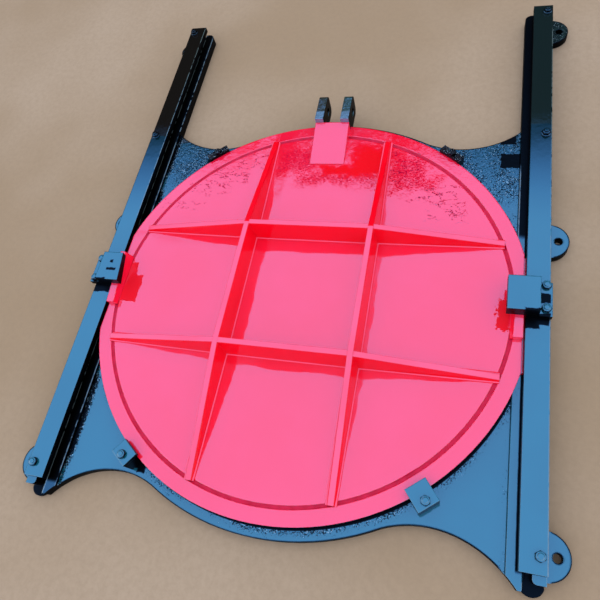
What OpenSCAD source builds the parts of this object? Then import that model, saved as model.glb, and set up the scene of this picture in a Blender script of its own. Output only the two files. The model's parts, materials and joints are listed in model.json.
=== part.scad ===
// Round cast iron sluice gate, wall mounted: a flat frame with two tall guide rails,
// and a ribbed disc leaf that slides up between them.
// Front faces -Y and the leaf lifts along +Z. The frame's back face lies on Y = 0.
// Heights off the wall are called depths here: a depth of 20 is a plane at Y = -20.
// "Above the centre" and "below the centre" are measured from the waterway's centre.

/* [Waterway] */
// Radius of the round water opening
waterway_r = 500; // [440:1:560]
// Thickness of the frame's main plate
plate_t = 20; // [16:1:26]
// How far the leaf laps over the waterway's edge
leaf_lap = 50; // [44:1:60]
// How far the frame's ring shows round the leaf
ring_show = 27; // [20:1:34]
// Radial width of the seat ring's machined face
seat_w = 32; // [26:1:40]
// How far the seat ring and guide strips stand off the plate
seat_t = 7; // [5:1:10]

/* [Frame outline] */
// Height of the rails above the centre
rail_top = 999; // [880:1:1120]
// How far the feet stop short of the ring's lowest point
foot_short = 3; // [0:1:8]
// Distance from the rail's outer edge in to the middle of the round notches
notch_in = 226; // [200:1:250]
// Radius of the round notches between ring and rails
notch_r = 228; // [200:1:256]
// Radius of the rails' top inner corner
rail_corner_r = 18; // [6:1:26]
// How far the rail bar stops short of the foot
bar_short = 33; // [26:1:40]
// Length of the outer foot lug below the rail bar
toe_len = 17; // [8:1:24]
// Width of the drain slot between the foot lug and the guide strip
drain_w = 9; // [6:1:14]
// How much wider the drain slot grows towards the foot
drain_flare = 8; // [0:1:8]
// Radius of the foot lug's inner corner
toe_corner_r = 9; // [2:1:12]
// Radius of the rounded base under each foot
base_r = 24; // [20:1:28]
// How far the rounded base reaches below the foot
base_past = 7; // [3:1:10]
// Thickness of the rounded base
base_t = 9; // [6:1:14]

/* [Guides] */
// How far the leaf's straight sides are cut in from its full circle
side_cut = 20; // [16:1:24]
// Free space round the leaf's moving edges
running_gap = 5; // [5:0.5:8]
// Width of the raised guide strip
strip_w = 30; // [26:1:34]
// How far the guide strip reaches in behind the leaf
strip_in = 15; // [12:1:18]
// Width of the web under the rail bar
web_w = 26; // [22:1:30]
// Width of the rail bar
bar_w = 52; // [46:1:58]
// Thickness of the rail bar
bar_t = 16; // [12:1:20]

/* [Leaf] */
// Thickness of the leaf's plate
leaf_t = 17.7; // [14:0.1:24]
// Thickness of the seal ring on the leaf's back
seal_t = 5; // [4:0.5:8]
// Radial width of the leaf's seal ring
seal_w = 25; // [20:1:28]
// Step from the waterway's edge out to the seal ring
seal_step = 3; // [2:1:4]
// Clearance between seal ring and seat ring
seal_gap = 0.3; // [0.2:0.1:0.6]
// Thickness of the guide tongue
tongue_t = 10.2; // [8:0.1:14]
// How far the guide tongue stops short of the straight side's ends
tongue_short = 2; // [1:1:8]
// Width of the leaf's rim outside its groove
rim_w = 34.5; // [28:0.5:40]
// Width of the groove inside the leaf's rim
groove_w = 9; // [5:0.5:12]
// Depth of the groove inside the leaf's rim
groove_t = 4; // [2:0.5:6]

/* [Ribs] */
// Distance from the centre line to each upright rib
rib_x = 165; // [140:1:190]
// Height of the upper cross rib above the centre
rib_up = 172; // [150:1:200]
// Distance of the lower cross rib below the centre
rib_low = 166; // [145:1:190]
// Thickness of the ribs
rib_t = 13; // [9:1:18]
// Height of the ribs between their crossings
rib_h = 61; // [45:1:75]
// Height of the ribs where they end on the rim
rib_end_h = 7; // [4:1:10]
// How far the ribs stop short of the leaf's edge
rib_short = 36; // [30:1:44]

/* [Lifting lug] */
// Width of the lifting block
block_w = 98; // [84:1:120]
// Distance from the leaf's edge down to the lifting block's foot
block_in = 139; // [120:1:160]
// Distance from the leaf's edge down to the lifting block's top
block_edge = 12; // [6:1:18]
// Height of the lifting block's top edge off the leaf
block_h = 30; // [20:1:40]
// Height of the lifting block's lower edge off the leaf
block_foot_h = 3; // [1:1:8]
// Thickness of each lifting ear
ear_t = 24; // [18:1:30]
// How far the lifting ears reach above the leaf
ear_out = 80; // [70:1:96]
// How far the lifting ears stand in front of the leaf
ear_front = 45; // [38:1:55]
// How far the lifting ears reach behind the leaf's front
ear_back = 22; // [16:1:24]
// Radius of the lifting ears' corners
ear_corner_r = 16; // [4:1:20]
// Radius of the hole for the stem's pin
pin_r = 12.5; // [8:0.5:14]
// Distance from the ears' tips down to the pin hole
pin_in = 36; // [30:1:42]

/* [Wedges] */
// Height of the side wedge blocks' middle above the centre
wedge_z = 22; // [0:1:40]
// Height of the side wedge blocks
wedge_block_h = 84; // [70:1:100]
// How far the wedge blocks reach in over the leaf's straight side
wedge_block_in = 38; // [32:1:44]
// How far the wedge blocks stand in front of the rail bar
wedge_block_t = 42; // [36:1:50]
// Width of the wedge blocks' bolting foot on the bar
wedge_foot_w = 26; // [20:1:32]
// Thickness of the wedge blocks' bolting foot
wedge_foot_t = 14; // [8:1:20]
// How far the bolting foot reaches past the rail's outer edge
wedge_foot_over = 2; // [0:1:8]
// How much further out the left wedge block sits
left_wedge_shift = 8; // [0:1:10]
// How much less the left wedge block stands in front of the rail bar
left_wedge_thin = 6; // [0:1:8]
// How far the left wedge block's inner side leans outward over its height
left_wedge_lean = 10; // [0:1:14]
// Height of the leaf's wedge pads at their lower end
pad_low_h = 15; // [12:1:18]
// Height of the leaf's wedge pads at their upper end
pad_top_h = 30; // [26:1:34]
// Width of the leaf's wedge pads at their foot
pad_w = 27; // [20:1:32]
// How far the pads' inner side leans outward over their upper end's height
pad_lean = 13; // [0:1:16]
// Distance that the wedge pads reach below the blocks' middle
pad_below = 94; // [80:1:100]
// Distance that the wedge pads reach above the blocks' middle
pad_above = 54; // [46:1:60]

/* [Corner clamps] */
// Angle of the right clamp below the horizontal
clamp_angle = 51.4; // [48:0.1:55]
// How much lower the left clamp sits, as an angle
left_clamp_turn = 2; // [0:0.1:3]
// Width of the lower clamps
clamp_w = 50; // [44:1:58]
// How far the right clamp reaches over the leaf's rim
clamp_over = 18; // [14:1:22]
// How far the left clamp reaches over the leaf's rim
left_clamp_over = 6; // [4:1:18]
// Length of the lower clamps outside the leaf's rim
clamp_len = 34; // [28:1:42]
// Thickness of the lower clamps' top plate
clamp_t = 12; // [8:1:16]

/* [Upper lugs] */
// Angle of the upper lugs above the horizontal
lug_angle = 52.6; // [48:0.1:56]
// Width of the upper lugs
lug_w = 66; // [56:1:76]
// Length of the upper lugs outside the leaf's rim
lug_len = 20; // [15:1:26]
// Height of the upper lugs in front of the leaf
lug_h = 9; // [5:1:14]

/* [Anchors] */
// Radius of the anchor lugs
anchor_r = 47; // [42:1:52]
// How much smaller the upper left anchor lug is
upper_left_anchor_trim = 10; // [0:1:12]
// How much smaller the middle left anchor lug is
middle_left_anchor_trim = 5; // [0:1:10]
// Radius of the anchor holes
anchor_hole_r = 9; // [8:0.5:11]
// Distance from the rail's outer edge to the anchor holes
anchor_out = 22; // [19:1:25]
// Distance from the foot up to the lower anchors
anchor_rise = 70; // [60:1:80]
// Height of the middle anchors above the centre
anchor_mid = 207; // [180:1:230]
// Distance from the rail's top down to the upper anchors
anchor_drop = 67; // [58:1:76]

/* [Hidden] */
$fn = 96;

frame_blue = [0.18, 0.42, 0.62];
bar_blue = [0.22, 0.50, 0.72];
dark_blue = [0.05, 0.08, 0.12];
leaf_red = [0.95, 0.16, 0.30];
rib_red = [0.98, 0.30, 0.42];
seal_bronze = [0.72, 0.52, 0.28];

cut = 1;
notch_bite = 0.5;
leaf_r = waterway_r + leaf_lap;
ring_r = leaf_r + ring_show;
axis_z = (waterway_r + ring_r) / 2;
leaf_flat_x = leaf_r - side_cut;
bar_x = leaf_flat_x + running_gap;
half_w = bar_x + bar_w;
web_x = half_w - web_w;
strip_x = leaf_flat_x - strip_in;
tongue_out = web_x - running_gap;
foot_z = ring_r - foot_short;
bar_low = foot_z - bar_short;
seat_d = plate_t + seat_t;
seal_d = seat_d + seal_gap;
disc_back = seal_d + seal_t;
leaf_front = disc_back + leaf_t;
bar_back = seal_d + tongue_t + running_gap;
bar_front = bar_back + bar_t;
notch_x = half_w - notch_in;
notch_z = sqrt(pow(ring_r + notch_r - notch_bite, 2) - pow(notch_x, 2));
tangent_x = notch_x * ring_r / (ring_r + notch_r);
flat_half = sqrt(pow(leaf_r, 2) - pow(leaf_flat_x, 2));
rim_r = leaf_r - rim_w;
rib_reach = leaf_r - rib_short;
rib_root = rib_t / 2;
block_low = leaf_r - block_in;
block_top = leaf_r - block_edge;
ear_top = leaf_r + ear_out;
pin_z = ear_top - pin_in;
wedge_block_x = leaf_flat_x - wedge_block_in;
wedge_block_out = half_w - wedge_foot_w;
pad_slope = (pad_top_h - pad_low_h) / (pad_above + pad_below);
anchor_low = foot_z - anchor_rise;
anchor_high = rail_top - anchor_drop;

// Raises a flat shape, drawn in X and Z about the waterway's centre, between two depths
module slab(near, far) {
    translate([0, -near, axis_z])
        rotate([90, 0, 0])
            linear_extrude(far - near)
                children();
}

// Extrudes a side profile, drawn in depth and Z about the centre, from one X to another
module side_slab(x_from, x_to) {
    translate([x_from, 0, axis_z])
        rotate([90, 0, 90])
            linear_extrude(x_to - x_from)
                scale([-1, 1])
                    children();
}

// Extrudes a plan profile, drawn in X and depth, from one Z to another
module plan_slab(z_from, z_to) {
    translate([0, 0, axis_z + z_from])
        linear_extrude(z_to - z_from)
            scale([1, -1])
                children();
}

// Draws its children on the right for 1, or mirrored on the left for -1
module on_side(s) {
    if (s > 0) children();
    else mirror([1, 0, 0]) children();
}

module notch_outline(up) {
    translate([notch_x, up * notch_z])
        circle(notch_r, $fn = 180);
}

// Flat outline of the plate between the ring and one rail
module wing_outline() {
    difference() {
        translate([tangent_x, -foot_z])
            square([strip_x - tangent_x, 2 * foot_z]);
        notch_outline(1);
        notch_outline(-1);
    }
}

// Flat outline of one rail's base, with its foot and its rounded top corner
module upright_outline() {
    difference() {
        translate([strip_x, -foot_z])
            square([half_w - strip_x, foot_z + rail_top]);
        notch_outline(-1);
        polygon([[web_x - drain_w, -bar_low], [web_x, -bar_low], [web_x, -foot_z - cut],
            [web_x - drain_w - drain_flare, -foot_z - cut]]);
        translate([web_x - cut, -foot_z - cut])
            square([web_w + 2 * cut, foot_z - bar_low - toe_len + cut]);
        translate([web_x, -bar_low - toe_len])
            difference() {
                translate([-cut, -cut])
                    square(toe_corner_r + cut);
                translate([toe_corner_r, toe_corner_r])
                    circle(toe_corner_r);
            }
        translate([strip_x, rail_top - rail_corner_r])
            difference() {
                translate([-cut, 0])
                    square([rail_corner_r + cut, rail_corner_r + cut]);
                translate([rail_corner_r, 0])
                    circle(rail_corner_r);
            }
    }
}

module frame_plate() {
    color(frame_blue)
        difference() {
            slab(0, plate_t)
                intersection() {
                    union() {
                        circle(ring_r, $fn = 240);
                        wing_outline();
                        mirror([1, 0]) wing_outline();
                    }
                    translate([-strip_x, -2 * ring_r])
                        square([2 * strip_x, 4 * ring_r]);
                }
            translate([0, cut, axis_z])
                rotate([90, 0, 0])
                    cylinder(h = plate_t + 2 * cut, r = waterway_r, $fn = 240);
        }
}

// Flat outline of the thin rounded base that closes the drain slot under the foot
module base_outline() {
    intersection() {
        translate([half_w + cut - base_r, base_r - base_past - foot_z])
            circle(base_r);
        translate([strip_x, -2 * foot_z])
            square([half_w - strip_x, 2 * foot_z - bar_low + drain_w]);
    }
}

module upright(s) {
    color(frame_blue)
        on_side(s) {
            slab(0, plate_t)
                upright_outline();
            slab(0, base_t)
                base_outline();
        }
}

module seat_ring() {
    color(seal_bronze)
        slab(plate_t, seat_d)
            intersection() {
                difference() {
                    circle(waterway_r + seat_w, $fn = 240);
                    circle(waterway_r, $fn = 240);
                }
                square([2 * strip_x, 3 * waterway_r], center = true);
            }
}

module guide_strip(s) {
    color(frame_blue)
        on_side(s)
            slab(plate_t, seat_d)
                intersection() {
                    upright_outline();
                    translate([strip_x, -foot_z])
                        square([strip_w, foot_z + rail_top]);
                }
}

module guide_web(s) {
    color(dark_blue)
        on_side(s)
            slab(plate_t, bar_back)
                intersection() {
                    upright_outline();
                    translate([web_x, -foot_z])
                        square([web_w, foot_z + rail_top]);
                }
}

module guide_bar(s) {
    color(bar_blue)
        on_side(s)
            slab(bar_back, bar_front)
                translate([bar_x, -bar_low])
                    square([bar_w, bar_low + rail_top]);
}

// Depth of the wedge faces at a height above the centre
function pad_depth(z) = leaf_front + pad_top_h - pad_slope * (wedge_z + pad_above - z);

// Place outward and height of each wedge block, which were set by hand on the real gate
function wedge_shift(s) = s > 0 ? 0 : left_wedge_shift;
function wedge_thin(s) = s > 0 ? 0 : left_wedge_thin;
function wedge_lean(s) = s > 0 ? 0 : left_wedge_lean;

module wedge_block(s) {
    low = wedge_z - wedge_block_h / 2;
    high = wedge_z + wedge_block_h / 2;
    front = bar_front + wedge_block_t - wedge_thin(s);
    out = wedge_block_out + wedge_shift(s);
    foot = half_w + wedge_foot_over + wedge_shift(s);
    inner = wedge_block_x + wedge_shift(s);
    color(bar_blue)
        on_side(s) {
            intersection() {
                side_slab(inner, out)
                    polygon([[pad_depth(low) + seal_gap, low], [front, low],
                        [front, high], [pad_depth(high) + seal_gap, high]]);
                slab(0, front + cut)
                    polygon([[inner, low], [out, low], [out, high],
                        [inner + wedge_lean(s), high]]);
            }
            plan_slab(low, high)
                polygon([[bar_x, bar_front],
                    [foot, bar_front],
                    [foot, bar_front + wedge_foot_t],
                    [out, bar_front + wedge_foot_t],
                    [out, front],
                    [bar_x, front]]);
        }
}

// Places a flat shape drawn along the radius at an angle from the right
module at_angle(a) {
    rotate([0, 0, a])
        children();
}

// Angle and reach over the rim of each lower clamp, which were set by hand on the real gate
function clamp_turn(s) = s > 0 ? clamp_angle : clamp_angle + left_clamp_turn;
function clamp_reach(s) = s > 0 ? clamp_over : left_clamp_over;

module clamp_foot(s) {
    color(frame_blue)
        on_side(s)
            slab(plate_t, leaf_front + running_gap)
                at_angle(-clamp_turn(s))
                    translate([leaf_r + running_gap, -clamp_w / 2])
                        square([clamp_len - running_gap, clamp_w]);
}

module clamp_plate(s) {
    color(bar_blue)
        on_side(s)
            slab(leaf_front + running_gap, leaf_front + running_gap + clamp_t)
                at_angle(-clamp_turn(s))
                    translate([leaf_r - clamp_reach(s), -clamp_w / 2])
                        square([clamp_reach(s) + clamp_len, clamp_w]);
}

// Half-round wall lug with its bolt hole
module anchor(s, z, r = anchor_r) {
    color(frame_blue)
        on_side(s)
            difference() {
                slab(0, plate_t)
                    intersection() {
                        translate([half_w, z])
                            circle(r);
                        translate([half_w, z - r])
                            square([r, 2 * r]);
                    }
                translate([half_w + anchor_out, cut, axis_z + z])
                    rotate([90, 0, 0])
                        cylinder(h = plate_t + 2 * cut, r = anchor_hole_r, $fn = 48);
            }
}

// Flat outline of the leaf, a disc with its two sides cut straight
module leaf_outline(r) {
    intersection() {
        circle(r, $fn = 240);
        square([2 * leaf_flat_x, 3 * r], center = true);
    }
}

module leaf_disc() {
    color(leaf_red)
        difference() {
            slab(disc_back, leaf_front)
                leaf_outline(leaf_r);
            slab(leaf_front - groove_t, leaf_front + cut)
                difference() {
                    circle(rim_r, $fn = 240);
                    circle(rim_r - groove_w, $fn = 240);
                }
        }
}

module leaf_seal_ring() {
    color(seal_bronze)
        slab(seal_d, disc_back)
            difference() {
                leaf_outline(waterway_r + seal_step + seal_w);
                circle(waterway_r + seal_step, $fn = 240);
            }
}

module guide_tongue(s) {
    color(leaf_red)
        on_side(s)
            slab(seal_d, seal_d + tongue_t)
                translate([leaf_flat_x, tongue_short - flat_half])
                    square([tongue_out - leaf_flat_x, 2 * (flat_half - tongue_short)]);
}

// Side profile of a rib in distance along it and height, tall from one crossing to the other
function rib_points(end_low, cross_low, cross_high, end_high) = [
    [end_low, 0], [end_low, rib_end_h], [cross_low, rib_h],
    [cross_high, rib_h], [end_high, rib_end_h], [end_high, 0]];

module upright_rib(s) {
    reach = sqrt(pow(rib_reach, 2) - pow(rib_x, 2));
    color(rib_red)
        on_side(s)
            side_slab(rib_x - rib_root, rib_x + rib_root)
                polygon([for (p = rib_points(-reach, -rib_low, rib_up, reach))
                    [leaf_front + p[1], p[0]]]);
}

module cross_rib(z, x_from, x_to) {
    reach = sqrt(pow(rib_reach, 2) - pow(z, 2));
    color(rib_red)
        intersection() {
            plan_slab(z - rib_root, z + rib_root)
                polygon([for (p = rib_points(-reach, -rib_x, rib_x, reach))
                    [p[0], leaf_front + p[1]]]);
            translate([x_from, -leaf_front - 2 * rib_h, axis_z - leaf_r])
                cube([x_to - x_from, 3 * rib_h, 2 * leaf_r]);
        }
}

module side_cross_rib(s, z) {
    on_side(s)
        cross_rib(z, rib_x + rib_root, leaf_r);
}

module middle_cross_rib(z) {
    cross_rib(z, -rib_x + rib_root, rib_x - rib_root);
}

module lifting_block() {
    color(leaf_red)
        side_slab(-block_w / 2, block_w / 2)
            polygon([[leaf_front, block_low],
                [leaf_front + block_foot_h, block_low],
                [leaf_front + block_h, block_top],
                [leaf_front, block_top]]);
}

module lifting_ear(s) {
    color(dark_blue)
        on_side(s)
            difference() {
                side_slab(block_w / 2 - ear_t, block_w / 2)
                    difference() {
                        translate([leaf_front - ear_back, block_top])
                            square([ear_back + ear_front, ear_top - block_top]);
                        for (corner = [[0, leaf_front - ear_back], [1, leaf_front + ear_front]])
                            translate([corner[1], ear_top])
                                mirror([corner[0], 0])
                                    difference() {
                                        translate([-cut, -ear_corner_r])
                                            square([ear_corner_r + cut, ear_corner_r + cut]);
                                        translate([ear_corner_r, -ear_corner_r])
                                            circle(ear_corner_r);
                                    }
                    }
                slab(0, leaf_front)
                    circle(leaf_r, $fn = 240);
                translate([0, -(leaf_front + (ear_front - ear_back) / 2), axis_z + pin_z])
                    rotate([0, 90, 0])
                        cylinder(h = block_w, r = pin_r, $fn = 48);
            }
}

module wedge_pad(s) {
    low = wedge_z - pad_below;
    high = wedge_z + pad_above;
    color(leaf_red)
        on_side(s)
            intersection() {
                side_slab(leaf_flat_x - pad_w, leaf_flat_x)
                    polygon([[leaf_front, low], [pad_depth(low), low],
                        [pad_depth(high), high], [leaf_front, high]]);
                plan_slab(low - cut, high + cut)
                    polygon([[leaf_flat_x - pad_w, leaf_front],
                        [leaf_flat_x - pad_w + pad_lean, leaf_front + pad_top_h],
                        [leaf_flat_x, leaf_front + pad_top_h],
                        [leaf_flat_x, leaf_front]]);
            }
}

module upper_lug(s) {
    color(dark_blue)
        on_side(s)
            slab(disc_back, leaf_front + lug_h)
                difference() {
                    at_angle(lug_angle)
                        translate([leaf_r - lug_len, -lug_w / 2])
                            square([2 * lug_len, lug_w]);
                    circle(leaf_r, $fn = 240);
                }
}

frame_plate();
upright(-1);  // left_upright
upright(1);  // right_upright
seat_ring();
guide_strip(-1);  // left_guide_strip
guide_strip(1);  // right_guide_strip
guide_web(-1);  // left_guide_web
guide_web(1);  // right_guide_web
guide_bar(-1);  // left_guide_bar
guide_bar(1);  // right_guide_bar
wedge_block(-1);  // left_wedge_block
wedge_block(1);  // right_wedge_block
clamp_foot(-1);  // left_clamp_foot
clamp_foot(1);  // right_clamp_foot
clamp_plate(-1);  // left_clamp_plate
clamp_plate(1);  // right_clamp_plate
anchor(-1, anchor_high, anchor_r - upper_left_anchor_trim);  // upper_left_anchor
anchor(1, anchor_high);  // upper_right_anchor
anchor(-1, anchor_mid, anchor_r - middle_left_anchor_trim);  // middle_left_anchor
anchor(1, anchor_mid);  // middle_right_anchor
anchor(-1, -anchor_low);  // lower_left_anchor
anchor(1, -anchor_low);  // lower_right_anchor
leaf_disc();
leaf_seal_ring();
guide_tongue(-1);  // left_guide_tongue
guide_tongue(1);  // right_guide_tongue
upright_rib(-1);  // left_upright_rib
upright_rib(1);  // right_upright_rib
side_cross_rib(-1, rib_up);  // upper_left_rib
middle_cross_rib(rib_up);  // upper_middle_rib
side_cross_rib(1, rib_up);  // upper_right_rib
side_cross_rib(-1, -rib_low);  // lower_left_rib
middle_cross_rib(-rib_low);  // lower_middle_rib
side_cross_rib(1, -rib_low);  // lower_right_rib
lifting_block();
lifting_ear(-1);  // left_lifting_ear
lifting_ear(1);  // right_lifting_ear
wedge_pad(-1);  // left_wedge_pad
wedge_pad(1);  // right_wedge_pad
upper_lug(-1);  // upper_left_lug
upper_lug(1);  // upper_right_lug
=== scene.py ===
# %% [markdown]
# # A round sluice gate in wet-looking enamel
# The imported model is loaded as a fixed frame, and this lesson dresses it: camera, paints,
# bolts, rib roots, the groove's bottom, floor and sky. The gate stands upright in the frame
# (Z up, front towards -Y), while the photo shows it lying on its back, so the floor of the
# photo is an upright plane behind the gate here. Sizes are in metres unless a comment says
# millimetres.

# %% Load the frame
import json
import math

import bmesh
import bpy
from mathutils import Matrix, Vector


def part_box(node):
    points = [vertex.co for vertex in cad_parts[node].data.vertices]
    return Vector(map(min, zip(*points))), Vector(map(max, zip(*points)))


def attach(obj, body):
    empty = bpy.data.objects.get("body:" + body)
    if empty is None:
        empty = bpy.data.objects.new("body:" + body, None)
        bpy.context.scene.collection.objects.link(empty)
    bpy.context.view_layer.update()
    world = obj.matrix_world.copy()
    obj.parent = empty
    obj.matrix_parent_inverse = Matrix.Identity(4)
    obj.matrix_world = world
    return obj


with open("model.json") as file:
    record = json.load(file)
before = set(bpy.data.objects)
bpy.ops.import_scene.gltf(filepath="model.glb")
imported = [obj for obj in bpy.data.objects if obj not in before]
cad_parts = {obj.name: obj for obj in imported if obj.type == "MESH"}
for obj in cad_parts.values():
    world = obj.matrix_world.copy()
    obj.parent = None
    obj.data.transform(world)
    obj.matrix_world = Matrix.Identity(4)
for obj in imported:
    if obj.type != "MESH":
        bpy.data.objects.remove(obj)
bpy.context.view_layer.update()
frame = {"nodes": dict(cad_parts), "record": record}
NODES = frame["nodes"]
scene = bpy.context.scene

# %% [markdown]
# ## Sizes that the looks share with the model
# They are read from the nodes' boxes, so the pieces made here sit on the solids that carry
# them. Places on the gate are given from the middle of the waterway, in millimetres.

# %% Shared sizes
MM = 0.001
disc_low, disc_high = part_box("leaf_disc")
LEAF_FRONT = disc_low.y
CENTRE_Z = (disc_low.z + disc_high.z) / 2
LEAF_R = (disc_high.z - disc_low.z) / 2


def front_of(node):
    """How far a node's front face stands from the wall, as a place on Y."""
    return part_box(node)[0].y


def at(x, z, y):
    """A place from millimetres off the waterway's middle and a depth in metres."""
    return Vector((x * MM, y, CENTRE_Z + z * MM))


print("leaf radius %.3f, centre height %.4f" % (LEAF_R, CENTRE_Z))

# %% [markdown]
# ## Camera
# The camera was solved from the photo: the leaf's circle, the four rib crossings and the
# ends of both rail bars fix its place, its turn and a lens of 33.7 mm at once. The photo
# was taken from the foot end and a little to the right.

# %% Camera
def make_camera(place, turn, lens):
    """Adds the camera from its place, its three turns and its lens, as the fit gave them."""
    rx, ry, rz = turn
    spin = Matrix.Rotation(rz, 3, "Z") @ Matrix.Rotation(ry, 3, "Y") @ Matrix.Rotation(rx, 3, "X")
    right, down, forward = (Vector((row[0], -row[2], row[1])) for row in spin)
    data = bpy.data.cameras.new("photo_camera")
    data.sensor_width = 36.0
    data.lens = lens
    made = bpy.data.objects.new("photo_camera", data)
    axes = Matrix((right, -down, -forward)).transposed()
    made.matrix_world = Matrix.Translation(place) @ axes.to_4x4()
    scene.collection.objects.link(made)
    scene.camera = made
    return made


camera = make_camera(place=(0.39768, -1.28117, -0.04969),
                     turn=(2.7071021, 0.2814440, 0.0786001), lens=33.693)
print("camera looks along", [round(-v, 3) for v in camera.matrix_world.col[2][:3]])

# %% [markdown]
# ## Small helpers for node trees
# Every paint below is built from a few kinds of node, so each kind gets a short function.
# `add` makes a node and fills its inputs: a socket is linked and any other value is set.

# %% Node helpers
def add(tree, kind, **inputs):
    """Adds a node of a kind and fills the inputs that are named, or numbered as i0, i1."""
    made = tree.nodes.new(kind)
    for name, value in inputs.items():
        key = int(name[1:]) if name[0] == "i" and name[1:].isdigit() else name.replace("_", " ")
        if isinstance(value, bpy.types.NodeSocket):
            tree.links.new(value, made.inputs[key])
        else:
            made.inputs[key].default_value = value
    return made


def maths(tree, operation, first, *others):
    """Chains Math nodes of one operation over two or more values, or takes one value."""
    for other in others or (0.0,):
        made = add(tree, "ShaderNodeMath", i0=first, i1=other)
        made.operation = operation
        first = made.outputs[0]
    return first


def inverse(tree, mask):
    """One where a mask is zero, and zero where it is one."""
    return maths(tree, "SUBTRACT", 1.0, mask)


def remap(tree, value, low, high, to_low=0.0, to_high=1.0):
    """Maps a value smoothly from one range to another and stays inside it."""
    made = add(tree, "ShaderNodeMapRange", Value=value, From_Min=low, From_Max=high,
               To_Min=to_low, To_Max=to_high)
    made.interpolation_type = "SMOOTHSTEP"
    return made.outputs["Result"]


def between(tree, value, low, high, soft, soft_high=None):
    """One where a value lies between two limits, with soft ends."""
    soft_high = soft if soft_high is None else soft_high
    return maths(tree, "MULTIPLY", remap(tree, value, low - soft, low + soft),
                 remap(tree, value, high - soft_high, high + soft_high, 1.0, 0.0))


def mix_colour(tree, factor, a, b):
    """Mixes two colours."""
    made = tree.nodes.new("ShaderNodeMix")
    made.data_type = "RGBA"
    for socket, value in ((made.inputs[0], factor), (made.inputs[6], a), (made.inputs[7], b)):
        if isinstance(value, bpy.types.NodeSocket):
            tree.links.new(value, socket)
        else:
            socket.default_value = value
    return made.outputs[2]


def noise_value(tree, vector, scale, detail=2.0, roughness=0.5):
    """Adds a noise texture and returns its value."""
    return add(tree, "ShaderNodeTexNoise", Vector=vector, Scale=scale, Detail=detail,
               Roughness=roughness).outputs[0]


def ripple(tree, vector, scale, size):
    """A wavy offset round zero, which makes a straight edge ragged."""
    wave = noise_value(tree, vector, scale, 5.0, 0.65)
    return maths(tree, "MULTIPLY", maths(tree, "SUBTRACT", wave, 0.5), size)


def stretched(tree, vector, scale):
    """Scales the coordinates, so that a pattern grows longer one way."""
    return add(tree, "ShaderNodeMapping", Vector=vector, Scale=scale).outputs[0]


print("node helpers ready")

# %% [markdown]
# ## Groups and coordinates
# An effect that several paints share is a node group with named inputs. All patterns read
# the object's own coordinates, so they stay on the piece when it moves.

# %% Group helpers
def new_group(name, inputs, outputs):
    """Starts a shader node group with named sockets and returns it with both ends."""
    tree = bpy.data.node_groups.new(name, "ShaderNodeTree")
    for label, default in inputs:
        socket = tree.interface.new_socket(label, in_out="INPUT", socket_type="NodeSocketFloat")
        socket.default_value = default
    for label, kind in outputs:
        tree.interface.new_socket(label, in_out="OUTPUT", socket_type=kind)
    return tree, tree.nodes.new("NodeGroupInput").outputs, tree.nodes.new("NodeGroupOutput").inputs


def use_group(tree, group, **inputs):
    """Places a node group in a material and returns its outputs."""
    made = tree.nodes.new("ShaderNodeGroup")
    made.node_tree = group
    for name, value in inputs.items():
        made.inputs[name].default_value = value
    return made.outputs


def object_vector(tree):
    """The object's own coordinates, which are the frame's, in metres."""
    return tree.nodes.new("ShaderNodeTexCoord").outputs["Object"]


def from_centre(tree, vector):
    """Coordinates from the middle of the waterway: its X and Z and the distance from it."""
    local = add(tree, "ShaderNodeVectorMath", i0=vector, i1=(0.0, 0.0, CENTRE_Z))
    local.operation = "SUBTRACT"
    parts = add(tree, "ShaderNodeSeparateXYZ", Vector=local.outputs[0])
    x, z = parts.outputs["X"], parts.outputs["Z"]
    reach = maths(tree, "SQRT", maths(tree, "ADD", maths(tree, "MULTIPLY", x, x),
                                      maths(tree, "MULTIPLY", z, z)))
    return x, z, reach


print("group helpers ready")

# %% [markdown]
# ## Paint relief, shared by every enamel
# Thick enamel over a casting isn't flat: it has orange peel a few millimetres wide, broad
# sags of some centimetres, and a rolled edge where two faces meet. The upper third of this
# gate is a rougher casting. The group gives one normal, and the sky's mirror image in the
# paint breaks up by itself where the reflected sky ends. Heights are in millimetres.

# %% Relief group
def make_relief():
    """The group that turns peel, sag and rough casting into one normal."""
    tree, ins, outs = new_group("paint_relief", [
        ("Peel", 0.1), ("Peel Scale", 120.0), ("Sag", 0.3), ("Sag Scale", 14.0),
        ("Cast", 0.3), ("Cast Scale", 90.0), ("Edge", 0.003)], [("Normal", "NodeSocketVector")])
    vector = object_vector(tree)
    z = from_centre(tree, vector)[1]
    rounded = add(tree, "ShaderNodeBevel", Radius=ins["Edge"])
    rounded.samples = 6
    sag = maths(tree, "MULTIPLY", noise_value(tree, vector, ins["Sag Scale"], 2.0), ins["Sag"])
    peel = maths(tree, "MULTIPLY", noise_value(tree, vector, ins["Peel Scale"], 3.0), ins["Peel"])
    cast = maths(tree, "MULTIPLY", noise_value(tree, vector, ins["Cast Scale"], 4.0, 0.6),
                 remap(tree, z, 0.20, 0.40), ins["Cast"])
    height = maths(tree, "ADD", sag, peel, cast)
    bump = add(tree, "ShaderNodeBump", Strength=1.0, Distance=MM, Height=height,
               Normal=rounded.outputs[0])
    tree.links.new(bump.outputs[0], outs["Normal"])
    return tree


RELIEF = make_relief()
print("relief group ready")
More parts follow.
